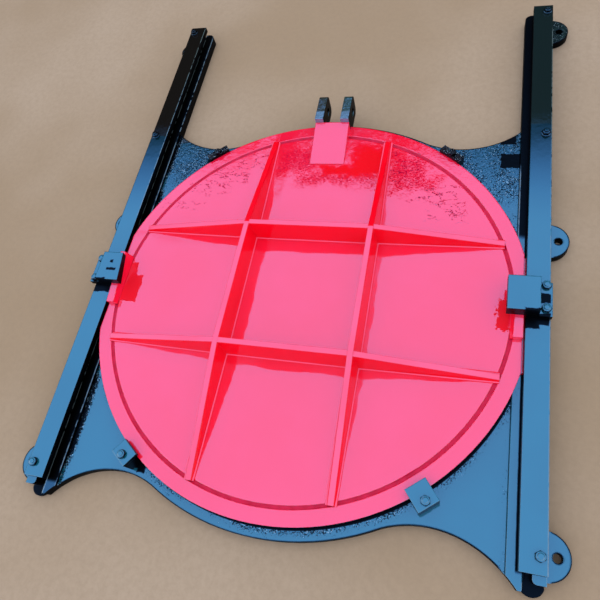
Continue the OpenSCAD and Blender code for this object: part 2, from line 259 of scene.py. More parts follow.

# %% [markdown]
# ## Painted specks and glints, shared by the frame's paints
# Black specks are a painted dark reflection, where a rough casting mirrors dark things, and
# bright glints are a painted highlight. They crowd round the leaf's rim, where the specks also
# stand for its shade, along the inner edges of the two guide strips and on the upper wings.
# One crowding value lowers the limit above which a noise shows as a speck or glint.

# %% Speck group
def make_speckles():
    """The group that gives the black specks, a painted dark reflection, and the bright glints, a
    painted highlight, as two masks.
    """
    tree, ins, outs = new_group("painted_specks", [
        ("Amount", 0.5), ("Scale", 330.0), ("Strip Edge", 0.515), ("Upper", 0.95)],
        [("Mask", "NodeSocketFloat"), ("Glints", "NodeSocketFloat")])
    vector = object_vector(tree)
    x, z, reach = from_centre(tree, vector)
    near_rim = remap(tree, reach, LEAF_R + 0.004, LEAF_R + 0.032, 1.0, 0.0)
    inboard = maths(tree, "SUBTRACT", ins["Strip Edge"], maths(tree, "ABSOLUTE", x))
    beside = maths(tree, "MULTIPLY", remap(tree, inboard, 0.004, 0.030, 1.0, 0.0),
                   remap(tree, inboard, -0.002, 0.0), remap(tree, x, -0.05, 0.05, 1.7, 0.6))
    patches = noise_value(tree, vector, 11.0, 3.0, 0.6)
    lower = maths(tree, "MULTIPLY", maths(tree, "MAXIMUM", near_rim, beside),
                  remap(tree, patches, 0.35, 0.62, 0.4, 1.0))
    upper = maths(tree, "MULTIPLY", remap(tree, z, 0.24, 0.34), ins["Upper"],
                  remap(tree, patches, 0.35, 0.60, 0.75, 1.15))
    crowd = maths(tree, "MULTIPLY", maths(tree, "MAXIMUM", lower, upper), ins["Amount"], 0.27)
    specks = noise_value(tree, vector, ins["Scale"], 3.0, 0.7)
    bright = noise_value(tree, stretched(tree, vector, (1.0, 1.0, 0.9)), 380.0, 2.0, 0.6)
    for noise, limit, soft, out in ((specks, 0.74, 0.04, "Mask"), (bright, 0.84, 0.05, "Glints")):
        above = maths(tree, "SUBTRACT", noise, maths(tree, "SUBTRACT", limit, crowd))
        tree.links.new(remap(tree, above, 0.0, soft), outs[out])
    return tree


SPECKLE_GROUP = make_speckles()
print("grit group ready")

# %% [markdown]
# ## Enamel paints
# Each paint is one Principled surface with a high index, as thick wet enamel has, and its
# smooth face is the mirror. A flat colour would miss what the photo shows: the leaf's pink
# and the frame's pale blue are the sky in that mirror. Masks tell which way a face looks,
# and a small lean of the normal changes what a place mirrors.

# %% Faces and leans
def start_material(name):
    """A new material with its tree and its Principled node."""
    made = bpy.data.materials.new(name)
    made.use_nodes = True
    tree = made.node_tree
    return made, tree, tree.nodes["Principled BSDF"]


def looks_along(tree, axis):
    """How far a face looks along X, Y or Z: one along it, zero aside and minus one against."""
    normal = tree.nodes.new("ShaderNodeTexCoord").outputs["Normal"]
    return add(tree, "ShaderNodeSeparateXYZ", Vector=normal).outputs[axis]


def front_mask(tree):
    """One on the faces that look to the front, and zero on the sides and at the back."""
    return remap(tree, looks_along(tree, "Y"), -0.9, -0.45, 1.0, 0.0)


def tilted(tree, normal, amount, aside):
    """Leans a normal towards +Z and +X, as a broad sag in the paint does."""
    push = add(tree, "ShaderNodeCombineXYZ", X=aside, Z=amount).outputs[0]
    total = add(tree, "ShaderNodeVectorMath", i0=normal, i1=push)
    total.operation = "ADD"
    unit = add(tree, "ShaderNodeVectorMath", i0=total.outputs[0])
    unit.operation = "NORMALIZE"
    return unit.outputs[0]


print("face helpers ready")

# %% [markdown]
# ## Marks in their own places
# Some marks belong to one place, such as a sag below the lifting block or a bare patch
# beside a clamp. An image would show them too, but it slides and blurs, so each mark is a
# box or a band in the object's coordinates whose edge a noise makes wavy.

# %% Places in the paint
def spots(tree, vector, marks, wobble, soft, scale=45.0):
    """One inside boxes with wavy edges, each a place X, Z and its half sizes in millimetres."""
    x, z = from_centre(tree, vector)[:2]
    wave = ripple(tree, vector, scale, wobble)
    places = []
    for mark_x, mark_z, half_x, half_z in marks:
        off = [maths(tree, "SUBTRACT", maths(tree, "ABSOLUTE", maths(
            tree, "SUBTRACT", value, middle * MM)), half * MM)
            for value, middle, half in ((x, mark_x, half_x), (z, mark_z, half_z))]
        out = maths(tree, "ADD", maths(tree, "MAXIMUM", *off), wave)
        places.append(remap(tree, out, -soft, soft, 1.0, 0.0))
    return maths(tree, "MAXIMUM", *places)


def outline(tree, across, width):
    """One close to the open edges of a piece, but not where it meets the next piece."""
    true = add(tree, "ShaderNodeNewGeometry").outputs["True Normal"]
    rounded = add(tree, "ShaderNodeBevel", Radius=width)
    rounded.samples = 8
    match = add(tree, "ShaderNodeVectorMath", i0=rounded.outputs[0], i1=true)
    match.operation = "DOT_PRODUCT"
    edge = remap(tree, match.outputs["Value"], 0.90, 0.985, 1.0, 0.0)
    open_in = remap(tree, across, 0.500, 0.510, 1.0, 0.0)
    open_out = remap(tree, across, 0.594, 0.600)
    return maths(tree, "MULTIPLY", edge, maths(tree, "MAXIMUM", open_in, open_out))


def shine_bands(tree, x, z, bands):
    """One in narrow bands along the rails: a side, two distances out and two heights each."""
    lines = [maths(tree, "MULTIPLY",
                   between(tree, maths(tree, "MULTIPLY", x, float(side)), near, far, 0.0005),
                   between(tree, z, low, high, 0.02))
             for side, near, far, low, high in bands]
    return maths(tree, "MAXIMUM", *lines)


print("mark helpers ready")

# %% [markdown]
# ## The leaf's red
# The disc is the smoothest casting of the gate, with one broad coat. Its paint pulls up
# towards the ribs and sags below the lifting block, and fine wrinkles and broken lines lean it
# in the upper third. Below the block and beside the wedge pads its red is painted deeper, a
# painted reflection of the block and the pads. The upper third's wrinkles and lines are
# painted dark red, a painted dark reflection. Marks are X, Z and half sizes in millimetres.
# The narrow rim's side is painted near black, a painted shade.

# %% Leaf enamel
RED_LOW, RED_HIGH = (0.98, 0.004, 0.034, 1), (1.0, 0.010, 0.062, 1)
BLOCK_SAG_REFLECTIONS = [(120, 425, 46, 48), (75, 388, 85, 18)]
MOTTLES = [(232, 400, 56, 60), (255, 345, 72, 34), (-88, 420, 60, 50), (40, 360, 120, 30)]
DARK_LINE_PLACES = [(-335, 325, 62, 22), (-280, 368, 58, 24), (-215, 415, 50, 28), (-400, 258, 66, 12),
           (300, 318, 64, 24), (340, 268, 46, 30), (220, 400, 44, 60)]
PAD_SAG_REFLECTIONS = [(-480, -20, 27, 42), (-494, 34, 13, 26), (-499, -66, 9, 16)]
PAD_STREAK_REFLECTIONS = [(488, -14, 15, 37)]
# A rib's line and how far from it the paint leans, in millimetres, and how much it leans
UPRIGHT_LEANS = [(-165, 46, 0.09), (165, 46, 0.09)]
CROSS_LEANS = [(172, 52, 0.06), (-166, 46, 0.09)]


def toward_ribs(tree, across, lines, swell):
    """How far the paint leans towards ribs, each a place across them, a reach and an amount."""
    leans = []
    for place, reach, amount in lines:
        off = maths(tree, "SUBTRACT", across, place * MM)
        gap = maths(tree, "ABSOLUTE", off)
        leans.append(maths(tree, "MULTIPLY", maths(tree, "SIGN", off),
                           remap(tree, gap, 0.006, 0.008),
                           remap(tree, gap, reach * MM, reach * MM + 0.02, -amount, 0.0), swell))
    return maths(tree, "ADD", *leans)


def dark_reflection_lines(tree, vector):
    """One along fine broken lines, which lean the paint and are painted dark red, a painted dark
    reflection.
    """
    shifting = noise_value(tree, stretched(tree, vector, (0.6, 1.0, 1.5)), 34.0, 5.0, 0.6)
    line = remap(tree, maths(tree, "ABSOLUTE", maths(tree, "SUBTRACT", shifting, 0.5)),
                 0.006, 0.016, 1.0, 0.0)
    broken = remap(tree, noise_value(tree, vector, 120.0, 2.0), 0.38, 0.48)
    return maths(tree, "MULTIPLY", line, broken,
                 spots(tree, vector, DARK_LINE_PLACES, 0.06, 0.012, 20.0))


def leaf_marks(tree, vector, z, colour):
    """Lays the disc's marks over its colour, and returns how far they lean the paint."""
    crowd = maths(tree, "MAXIMUM", spots(tree, vector, MOTTLES, 0.10, 0.030, 14.0),
                  remap(tree, z, 0.30, 0.50, 0.0, 0.55))
    wrinkles = noise_value(tree, stretched(tree, vector, (0.42, 1.0, 1.25)), 300.0, 4.0, 0.72)
    limit = maths(tree, "SUBTRACT", 0.65, maths(tree, "MULTIPLY", crowd, 0.22))
    fine = maths(tree, "SUBTRACT", wrinkles, limit)
    clouds = remap(tree, noise_value(tree, vector, 70.0, 4.0, 0.65), 0.38, 0.62, 0.25, 1.0)
    sag_reflection = spots(tree, vector, BLOCK_SAG_REFLECTIONS, 0.10, 0.020, 40.0)
    beside = maths(tree, "MAXIMUM", spots(tree, vector, PAD_SAG_REFLECTIONS, 0.022, 0.005, 22.0),
                   spots(tree, vector, PAD_STREAK_REFLECTIONS, 0.042, 0.0015, 90.0))
    # Painted dark reflection: a dark red in the crowded mottles.
    mottle_dark_reflection = maths(tree, "MULTIPLY", crowd, remap(tree, fine, 0.05, 0.11, 0.0, 0.45))
    dark_lines = dark_reflection_lines(tree, vector)
    lean = maths(tree, "ADD", maths(tree, "MULTIPLY", crowd, clouds, 0.030),
                 maths(tree, "MULTIPLY", remap(tree, fine, 0.0, 0.12), 0.055))
    for mask, amount in ((sag_reflection, 0.09), (beside, 0.24), (dark_lines, 0.16)):
        lean = maths(tree, "MAXIMUM", lean, maths(tree, "MULTIPLY", mask, amount))
    ahead = front_mask(tree)
    # Painted reflection: sag and pad places get a deeper red. Painted dark reflection: mottles and
    # lines get a dark red.
    for mask, paint in ((sag_reflection, (1.0, 0.004, 0.016, 1)), (beside, (1.0, 0.012, 0.034, 1)),
                        (mottle_dark_reflection, (0.42, 0.0, 0.06, 1)), (dark_lines, (0.34, 0.0, 0.05, 1))):
        colour = mix_colour(tree, maths(tree, "MULTIPLY", mask, ahead), colour, paint)
    return colour, maths(tree, "MULTIPLY", lean, ahead)


def leaf_enamel(name, wrinkled=True):
    """The leaf's red. The disc's own is marked, and its rim's side is painted near black, a painted
    shade.
    """
    made, tree, shader = start_material(name)
    vector = object_vector(tree)
    x, z, reach = from_centre(tree, vector)
    cloud = noise_value(tree, vector, 3.5, 3.0)
    colour = mix_colour(tree, remap(tree, cloud, 0.35, 0.65), RED_LOW, RED_HIGH)
    normal = use_group(tree, RELIEF, Peel=0.05, Sag=0.35, Cast=0.3)[0]
    if wrinkled:
        colour, lean = leaf_marks(tree, vector, z, colour)
        swell = remap(tree, noise_value(tree, vector, 14.0, 3.0), 0.35, 0.65, 0.75, 1.2)
        lean = maths(tree, "ADD", lean, toward_ribs(tree, z, CROSS_LEANS, swell))
        normal = tilted(tree, normal, lean, toward_ribs(tree, x, UPRIGHT_LEANS, swell))
        # Painted shade: the rim's side is near black and metallic.
        rim = maths(tree, "MULTIPLY", inverse(tree, front_mask(tree)),
                    remap(tree, reach, LEAF_R - 0.0015, LEAF_R - 0.0005))
        colour = mix_colour(tree, rim, colour, (0.020, 0.001, 0.008, 1))
        tree.links.new(rim, shader.inputs["Metallic"])
    tree.links.new(colour, shader.inputs["Base Color"])
    tree.links.new(normal, shader.inputs["Normal"])
    tree.links.new(remap(tree, cloud, 0.3, 0.7, 0.04, 0.09), shader.inputs["Roughness"])
    shader.inputs["IOR"].default_value = 2.1
    return made


LEAF_PAINT = leaf_enamel("leaf_enamel")
BLOCK_PAINT = leaf_enamel("block_enamel", False)
print("leaf paints ready")

# %% [markdown]
# ## The ribs' red
# The ribs' narrow tops are pink like the disc, but their sides and their falling ends are a
# deep, almost pure red, because they mirror the disc and each other. The tops' pink is a
# painted sky reflection in their base colour. A lower index and two colours, chosen by which
# way the face looks, give both.

# %% Rib enamel
def rib_enamel(name):
    """The ribs' red: pink on the tops as a painted sky reflection, deep red on sides and falling
    ends.
    """
    made, tree, shader = start_material(name)
    vector = object_vector(tree)
    cloud = noise_value(tree, vector, 5.0, 3.0)
    share = remap(tree, cloud, 0.35, 0.65)
    # Painted sky reflection: the tops' pink.
    top = mix_colour(tree, share, (0.97, 0.100, 0.235, 1), (1.0, 0.120, 0.285, 1))
    side = mix_colour(tree, share, (0.95, 0.001, 0.015, 1), (1.0, 0.002, 0.022, 1))
    pink = maths(tree, "MULTIPLY", front_mask(tree),
                 remap(tree, looks_along(tree, "Z"), 0.05, 0.12, 1.0, 0.0))
    tree.links.new(mix_colour(tree, pink, side, top), shader.inputs["Base Color"])
    relief = use_group(tree, RELIEF, Peel=0.03, Sag=0.2, Cast=0.1)
    tree.links.new(relief[0], shader.inputs["Normal"])
    tree.links.new(remap(tree, cloud, 0.3, 0.7, 0.05, 0.12), shader.inputs["Roughness"])
    shader.inputs["IOR"].default_value = 1.38
    return made


RIB_PAINT = rib_enamel("rib_enamel")
print("rib paint ready")

# %% [markdown]
# ## The frame's blue
# The blue on the faces that look to the front is partly the paint's own colour and partly a
# painted sky reflection. Painted shade turns it black at the edges, round the leaf, in the
# channels beside the guide strips and on the sides, and a painted dark reflection fades it to
# black towards the upper ends. One black mask gathers all those places: it darkens the colour
# and is the metallic value too, so that the black places mirror little of the sky. The back is
# primer.

# %% Parts of the frame's coat
# Black for painted shade and painted dark reflection, and a pale glint colour, a painted highlight.
SHADE_BLACK, GLINT = (0.008, 0.008, 0.009, 1), (0.30, 0.46, 0.62, 1)
# A pale painted highlight for edges, and a painted sky reflection for the ears' lower front.
SHINE_PALE, LOW_SKY_BLUE = (0.10, 0.15, 0.17, 1), (0.10, 0.19, 0.33, 1)
PRIMER_DARK, PRIMER_PALE = (0.030, 0.042, 0.055, 1), (0.060, 0.080, 0.100, 1)
# The near black of each rail's upper end, a painted dark reflection.
LEFT_DARK, RIGHT_DARK = (0.042, 0.034, 0.024), (0.040, 0.105, 0.120)


def toned(colour, by):
    """A colour made darker or paler, with its alpha."""
    return tuple(by * v for v in colour) + (1,)


def coat_with_reflections(tree, vector, x, edge, blue, dark_tint):
    """The blue coat with a painted sky reflection in it, and the near black of each rail above a
    line near its upper end, a painted dark reflection.
    """
    cloud = remap(tree, noise_value(tree, vector, 6.0, 3.0), 0.35, 0.65)
    shade = mix_colour(tree, cloud, toned(blue, 0.88), toned(blue, 1.0))
    dark = mix_colour(tree, remap(tree, x, -0.1, 0.1), toned(LEFT_DARK, dark_tint),
                      toned(RIGHT_DARK, dark_tint))
    return mix_colour(tree, remap(tree, edge, 0.525, 0.531, 1.0, 0.0), dark, shade)


def plate_shade(tree, across, reach):
    """One on the plate's open edges, close round the leaf and along the uprights: painted shade."""
    return maths(tree, "MAXIMUM", outline(tree, across, 0.009),
                 between(tree, reach, LEAF_R - 0.0055, LEAF_R + 0.0045, 0.0005, 0.001),
                 between(tree, across, 0.544, 0.562, 0.001))


def channel_shade(tree, x, z, across, ragged):
    """One in the channel behind the rail bar, painted black as painted shade under the bar."""
    start = remap(tree, x, -0.01, 0.01, 0.500, 0.531)
    past = maths(tree, "ADD", maths(tree, "SUBTRACT", across, start),
                 maths(tree, "MULTIPLY", ragged, 0.15))
    at_foot = remap(tree, x, -0.01, 0.01, 0.55, 0.0)
    return maths(tree, "MULTIPLY", remap(tree, past, 0.0, 0.002),
                 remap(tree, across, 0.552, 0.555, 1.0, 0.0),
                 remap(tree, z, -0.548, -0.538, at_foot, 1.0))


print("parts of the frame's coat ready")

# %% [markdown]
# ## One material for all of the frame
# The pieces differ in their relief, their painted specks and their places of painted black,
# so one function takes those as values. `dark_above` is the height where a piece turns black;
# another height is where the two ears' front turns a paler blue below it, a painted sky
# reflection.

# %% Frame enamel
def frame_enamel(name, blue, relief, speckling, upper, index=2.2, dark_above=None, marks=(),
                 lines=(), reflection_fade=0.6, edged=False, strip=False, sky_blue_below=None,
                 dark_tint=1.0):
    """The frame's blue over black, with a painted sky reflection, painted shade and painted
    highlights. The relief is peel, sag and cast, in millimetres.
    """
    made, tree, shader = start_material(name)
    vector = object_vector(tree)
    front = front_mask(tree)
    x, z, reach = from_centre(tree, vector)
    across = maths(tree, "ABSOLUTE", x)
    ragged = ripple(tree, vector, 18.0, 0.02)
    ragged_z = maths(tree, "ADD", z, ragged)
    level = maths(tree, "ADD", z, maths(tree, "MULTIPLY", x, -0.03))
    colour = coat_with_reflections(tree, vector, x, maths(tree, "ADD", level, ragged), blue, dark_tint)
    speckle_masks = use_group(tree, SPECKLE_GROUP, Amount=speckling, Upper=upper)
    # Painted highlight: the glints turn pale.
    colour = mix_colour(tree, speckle_masks["Glints"], colour, GLINT)
    # Painted shade and painted dark reflection: specks and the faces that don't look to the front
    # turn black.
    painted_dark = maths(tree, "MAXIMUM", speckle_masks["Mask"], inverse(tree, front))
    if edged:
        painted_dark = maths(tree, "MAXIMUM", painted_dark, plate_shade(tree, across, reach))
    if strip:
        painted_dark = maths(tree, "MAXIMUM", painted_dark, channel_shade(tree, x, z, across, ragged))
    # Painted sky reflection: the ears' front is a paler blue below a height.
    if sky_blue_below is not None:
        low = remap(tree, ragged_z, sky_blue_below - 0.003, sky_blue_below + 0.003, 1.0, 0.0)
        colour = mix_colour(tree, low, colour, LOW_SKY_BLUE)
        under = remap(tree, looks_along(tree, "Z"), -0.7, -0.5, 1.0, 0.0)
        painted_dark = maths(tree, "MULTIPLY", painted_dark, inverse(tree, maths(tree, "MULTIPLY", low, under)))
    # Faces within 12 mm of the wall turn black.
    depth = add(tree, "ShaderNodeSeparateXYZ", Vector=vector).outputs["Y"]
    painted_dark = maths(tree, "MAXIMUM", painted_dark, remap(tree, depth, -0.014, -0.012))
    if dark_above is not None:
        painted_dark = maths(tree, "MAXIMUM", painted_dark, remap(
            tree, ragged_z, dark_above, dark_above + 0.02))
    # The listed marks turn black.
    if marks:
        painted_dark = maths(tree, "MAXIMUM", painted_dark, spots(tree, vector, marks, 0.014, 0.0015))
    # Painted dark reflection: the blue fades to black towards the upper ends, but not on glints.
    thin = remap(tree, level, 0.19, 0.47, 0.0, reflection_fade)
    black = maths(tree, "MAXIMUM", painted_dark, maths(
        tree, "MULTIPLY", thin, inverse(tree, speckle_masks["Glints"])))
    colour = mix_colour(tree, black, colour, SHADE_BLACK)
    # Painted highlight: pale threads along the listed edges.
    if lines:
        edge_shine = maths(tree, "MULTIPLY", shine_bands(tree, x, z, lines), front,
                     remap(tree, noise_value(tree, vector, 50.0, 3.0), 0.35, 0.5))
        colour = mix_colour(tree, edge_shine, colour, SHINE_PALE)
        black = maths(tree, "MULTIPLY", black, inverse(tree, edge_shine))
    behind = remap(tree, looks_along(tree, "Y"), 0.5, 0.8)
    primer = mix_colour(tree, remap(tree, noise_value(tree, vector, 14.0, 5.0, 0.65), 0.35, 0.65),
                        PRIMER_DARK, PRIMER_PALE)
    black = maths(tree, "MULTIPLY", black, inverse(tree, behind))
    peel, sag, cast = relief
    normal = use_group(tree, RELIEF, Peel=peel, Sag=sag, Cast=cast)[0]
    tree.links.new(mix_colour(tree, behind, colour, primer), shader.inputs["Base Color"])
    tree.links.new(black, shader.inputs["Metallic"])
    tree.links.new(normal, shader.inputs["Normal"])
    tree.links.new(remap(tree, painted_dark, 0.0, 1.0, 0.05, 0.35), shader.inputs["Roughness"])
    shader.inputs["IOR"].default_value = index
    return made


print("frame enamel ready")

# %% [markdown]
# ## The frame's paints in use
# The marks are black places, as X, Z and half sizes in millimetres: painted dark reflections
# on and below the wedge blocks, and places on the wings, two of them painted shade beside the
# left clamp. The lines are painted highlights, pale threads along edges: a side, two distances
# out and two heights, in metres. The lugs are a brownish black.

# %% Frame paints
BLUE, DARK_BLUE, LUG_BROWN = (0.004, 0.105, 0.172), (0.003, 0.020, 0.045), (0.050, 0.026, 0.016)
# Painted dark reflection and painted shade: black below and beside the wedge blocks.
BLOCK_DARK_REFLECTIONS = [(547, -30, 18, 16), (570, -25, 14, 12), (-563, -29, 24, 13), (574, 24, 12, 12),
               (-531, 12, 15, 4), (-537, 36, 5, 4)]
WING_MARKS = [(492, 452, 26, 24), (484, 524, 20, 16), (-372, 448, 18, 12),
              (-319, -471, 15, 9), (-307, -476, 10, 11)]
BAR_HIGHLIGHTS = [(-1, 0.535, 0.5375, 0.20, 1.2), (1, 0.585, 0.587, -0.70, 0.9)]
STRIP_HIGHLIGHTS = [(-1, 0.515, 0.518, -0.7, 1.2), (-1, 0.542, 0.545, -0.7, 1.2),
               (1, 0.515, 0.518, 0.14, 0.42)]
SMOOTH, ROUGH = (0.03, 0.25, 0.05), (0.3, 0.5, 0.9)
CAST_PAINT = frame_enamel("cast_enamel", BLUE, (0.10, 0.4, 0.5), speckling=1.0, upper=0.8,
                          marks=WING_MARKS, reflection_fade=0.4, edged=True)
BAR_PAINT = frame_enamel("bar_enamel", BLUE, SMOOTH, speckling=0.12, upper=0.3,
                         marks=BLOCK_DARK_REFLECTIONS, lines=BAR_HIGHLIGHTS)
CLAMP_PAINT = frame_enamel("clamp_enamel", BLUE, SMOOTH, speckling=0.12, upper=0.3,
                           marks=BLOCK_DARK_REFLECTIONS)
EDGE_PAINT = frame_enamel("channel_enamel", BLUE, (0.10, 0.4, 0.4), speckling=0.5, upper=0.95,
                          dark_above=0.20, lines=STRIP_HIGHLIGHTS, strip=True)
DARK_PAINT = frame_enamel("ear_enamel", DARK_BLUE, ROUGH, speckling=0.5, upper=1.0,
                          sky_blue_below=0.565, reflection_fade=0.0, dark_tint=0.8)
LUG_PAINT = frame_enamel("lug_enamel", LUG_BROWN, ROUGH, speckling=0.9, upper=1.0, index=1.4,
                         reflection_fade=0.5)
print("frame paints ready")

# %% [markdown]
# ## Bronze sealing faces
# Turned bronze shows fine rings. The two faces are hidden while the gate is shut, and show
# when the leaf is lifted. A sine of the distance from the middle gives the rings.

# %% Bronze material
def turned_bronze(name):
    """Machined bronze with turning rings and a brown patina."""
    made, tree, shader = start_material(name)
    vector = object_vector(tree)
    reach = from_centre(tree, vector)[2]
    rings = maths(tree, "SINE", maths(tree, "MULTIPLY", reach, 5200.0))
    patina = noise_value(tree, vector, 22.0, 4.0, 0.6)
    colour = mix_colour(tree, remap(tree, patina, 0.4, 0.7),
                        (0.62, 0.38, 0.16, 1), (0.38, 0.24, 0.11, 1))
    bump = add(tree, "ShaderNodeBump", Strength=0.15, Distance=0.0002, Height=rings)
    tree.links.new(colour, shader.inputs["Base Color"])
    tree.links.new(bump.outputs[0], shader.inputs["Normal"])
    tree.links.new(remap(tree, patina, 0.3, 0.8, 0.22, 0.5), shader.inputs["Roughness"])
    shader.inputs["Metallic"].default_value = 1.0
    return made


BRONZE = turned_bronze("turned_bronze")
print("bronze ready")

# %% [markdown]
# ## Paints go on the model's own pieces
# The shapes stay as packed. Only the material slots change.

# %% Assign paints
SLOTS = {part["node"]: part["material_slot"] for part in frame["record"]["subparts"]}


def paint_for(name):
    """The paint of a node, from its slot and, within a slot, from its name."""
    slot = SLOTS[name]
    if slot == "leaf_paint":
        if "rib" in name:
            return RIB_PAINT
        return LEAF_PAINT if name == "leaf_disc" else BLOCK_PAINT
    if slot == "seat_metal":
        return BRONZE
    if slot == "dark_paint":
        return LUG_PAINT if "lug" in name else DARK_PAINT
    if slot == "bar_paint":
        return BAR_PAINT if "bar" in name else CLAMP_PAINT
    return EDGE_PAINT if "strip" in name or "web" in name else CAST_PAINT


for name, item in NODES.items():
    item.data.materials.clear()
    item.data.materials.append(paint_for(name))
print("painted", len(NODES), "pieces")

# %% [markdown]
# ## Bolts
# All bolts of the gate are the same M12 size, 19 mm across flats, and painted over with the
# rest. One Geometry Nodes tree makes a hexagon, cuts its top corners with a cone as a real
# head is turned, adds a short washer, and copies it to each place with its own turn. The
# upper rail bolts are seen from their nut end, so a short end of thread stands out of them.

# %% Bolt tree
CONE_TOP, CONE_FOOT = 0.47, 0.80
WASHER_T = 0.005


def bolt_tree():
    """The tree that puts a bolt on each point, and its inputs' identifiers."""
    tree = bpy.data.node_groups.new("bolts_on_places", "GeometryNodeTree")
    face = tree.interface
    face.new_socket("Places", in_out="INPUT", socket_type="NodeSocketGeometry")
    ids = {}
    for label, default in (("Across Flats", 0.019), ("Head Height", 0.008),
                           ("Stud Radius", 0.006), ("Stud Height", 0.002),
                           ("Washer Radius", 0.004)):
        socket = face.new_socket(label, in_out="INPUT", socket_type="NodeSocketFloat")
        socket.default_value = default
        ids[label] = socket.identifier
    ids["Paint"] = face.new_socket("Paint", in_out="INPUT",
                                   socket_type="NodeSocketMaterial").identifier
    face.new_socket("Bolts", in_out="OUTPUT", socket_type="NodeSocketGeometry")
    ins = tree.nodes.new("NodeGroupInput").outputs
    outs = tree.nodes.new("NodeGroupOutput").inputs
    flats, height = ins["Across Flats"], ins["Head Height"]
    hexagon = add(tree, "GeometryNodeMeshCylinder", Vertices=6, Depth=height,
                  Radius=maths(tree, "DIVIDE", flats, math.sqrt(3.0)))
    lift = add(tree, "ShaderNodeCombineXYZ", Z=maths(tree, "MULTIPLY", height, 0.5)).outputs[0]
    raised = add(tree, "GeometryNodeTransform", Geometry=hexagon.outputs["Mesh"],
                 Translation=lift)
    cone = add(tree, "GeometryNodeMeshCone", Vertices=48, Depth=height,
               Radius_Top=maths(tree, "MULTIPLY", flats, CONE_TOP),
               Radius_Bottom=maths(tree, "MULTIPLY", flats, CONE_FOOT))
    cut = tree.nodes.new("GeometryNodeMeshBoolean")
    cut.operation = "INTERSECT"
    cut.solver = "EXACT"
    tree.links.new(raised.outputs[0], cut.inputs["Mesh 2"])
    tree.links.new(cone.outputs["Mesh"], cut.inputs["Mesh 2"])
    stud = add(tree, "GeometryNodeMeshCylinder", Vertices=20, Radius=ins["Stud Radius"],
               Depth=ins["Stud Height"])
    above = maths(tree, "ADD", height, maths(tree, "MULTIPLY", ins["Stud Height"], 0.3))
    top = add(tree, "ShaderNodeCombineXYZ", Z=above).outputs[0]
    placed = add(tree, "GeometryNodeTransform", Geometry=stud.outputs["Mesh"], Translation=top)
    washer = add(tree, "GeometryNodeMeshCylinder", Vertices=32, Radius=ins["Washer Radius"],
                 Depth=WASHER_T)
    join = tree.nodes.new("GeometryNodeJoinGeometry")
    for piece in (cut.outputs["Mesh"], placed.outputs[0], washer.outputs["Mesh"]):
        tree.links.new(piece, join.inputs[0])
    turn = add(tree, "FunctionNodeRandomValue")
    turn.data_type = "FLOAT"
    turn.inputs[2].default_value = 0.0
    turn.inputs[3].default_value = math.pi / 3
    turn.inputs["Seed"].default_value = 7
    spin = add(tree, "ShaderNodeCombineXYZ", X=math.pi / 2, Y=turn.outputs[1]).outputs[0]
    copies = add(tree, "GeometryNodeInstanceOnPoints", Points=ins["Places"],
                 Instance=join.outputs[0], Rotation=spin)
    real = add(tree, "GeometryNodeRealizeInstances", Geometry=copies.outputs[0])
    paint = add(tree, "GeometryNodeSetMaterial", Geometry=real.outputs[0],
                Material=ins["Paint"])
    tree.links.new(paint.outputs[0], outs["Bolts"])
    return tree, ids


BOLTS, BOLT_IDS = bolt_tree()
print("bolt tree inputs:", sorted(BOLT_IDS))

# %% [markdown]
# ## From a node tree or a mesh to a plain piece
# The modifier is evaluated once, its result becomes an ordinary mesh, and the modifier goes.
# A shape that is built face by face gets its faces turned outwards and becomes a piece too.

# %% Piece helpers
def plain_piece(name, points, edges, tree, values):
    """Runs a Geometry Nodes tree on a few points and returns the result as a plain piece."""
    source = bpy.data.meshes.new(name + "_places")
    source.from_pydata(points, edges, [])
    made = bpy.data.objects.new(name, source)
    scene.collection.objects.link(made)
    modifier = made.modifiers.new("nodes", "NODES")
    modifier.node_group = tree
    for key, value in values.items():
        modifier[key] = value
    graph = bpy.context.evaluated_depsgraph_get()
    mesh = bpy.data.meshes.new_from_object(made.evaluated_get(graph))
    mesh.name = name
    made.modifiers.remove(modifier)
    made.data = mesh
    bpy.data.meshes.remove(source)
    return made


def built_piece(name, mesh, paint):
    """Turns a shape built face by face into a painted piece with its faces outwards."""
    bmesh.ops.recalc_face_normals(mesh, faces=mesh.faces)
    data = bpy.data.meshes.new(name)
    mesh.to_mesh(data)
    mesh.free()
    data.materials.append(paint)
    made = bpy.data.objects.new(name, data)
    scene.collection.objects.link(made)
    return made


print("piece helpers ready")

# %% [markdown]
# ## Where the bolts are
# Two nuts and one head hold each rail bar, two heads each wedge block's foot, which stands
# 14 mm in front of the bar, and one head each lower clamp. A small bolt sits on each of the
# two dark lugs and rides on the leaf. Places are X and Z in millimetres.

# %% Bolts
BAR_Y = front_of("right_guide_bar")
WEDGE_FOOT_Y = BAR_Y - 0.014
CLAMP_Y = front_of("right_clamp_plate")
LUG_Y = front_of("upper_right_lug")
SIDES = (-1, 1)
RAIL_X = 572.5
NUT_HEIGHTS, HEAD_HEIGHT = (974, 512), -509
WEDGE_BOLTS = [(576, 56), (576, -1.5), (-584, 52), (-584, -8)]
CLAMP_BOLTS = [(356, -446), (-340, -458)]
LUG_BOLT = (340, 445)


def bolts(name, places, body, paint, height=0.008, stud=0.002, washer=0.004):
    """Puts bolts on places and hangs them on a body."""
    item = plain_piece(name, places, [], BOLTS, {
        BOLT_IDS["Head Height"]: height, BOLT_IDS["Stud Height"]: stud,
        BOLT_IDS["Washer Radius"]: washer, BOLT_IDS["Paint"]: paint})
    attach(item, body)
    print(name, len(places), "bolts,", len(item.data.polygons), "faces")
    return item


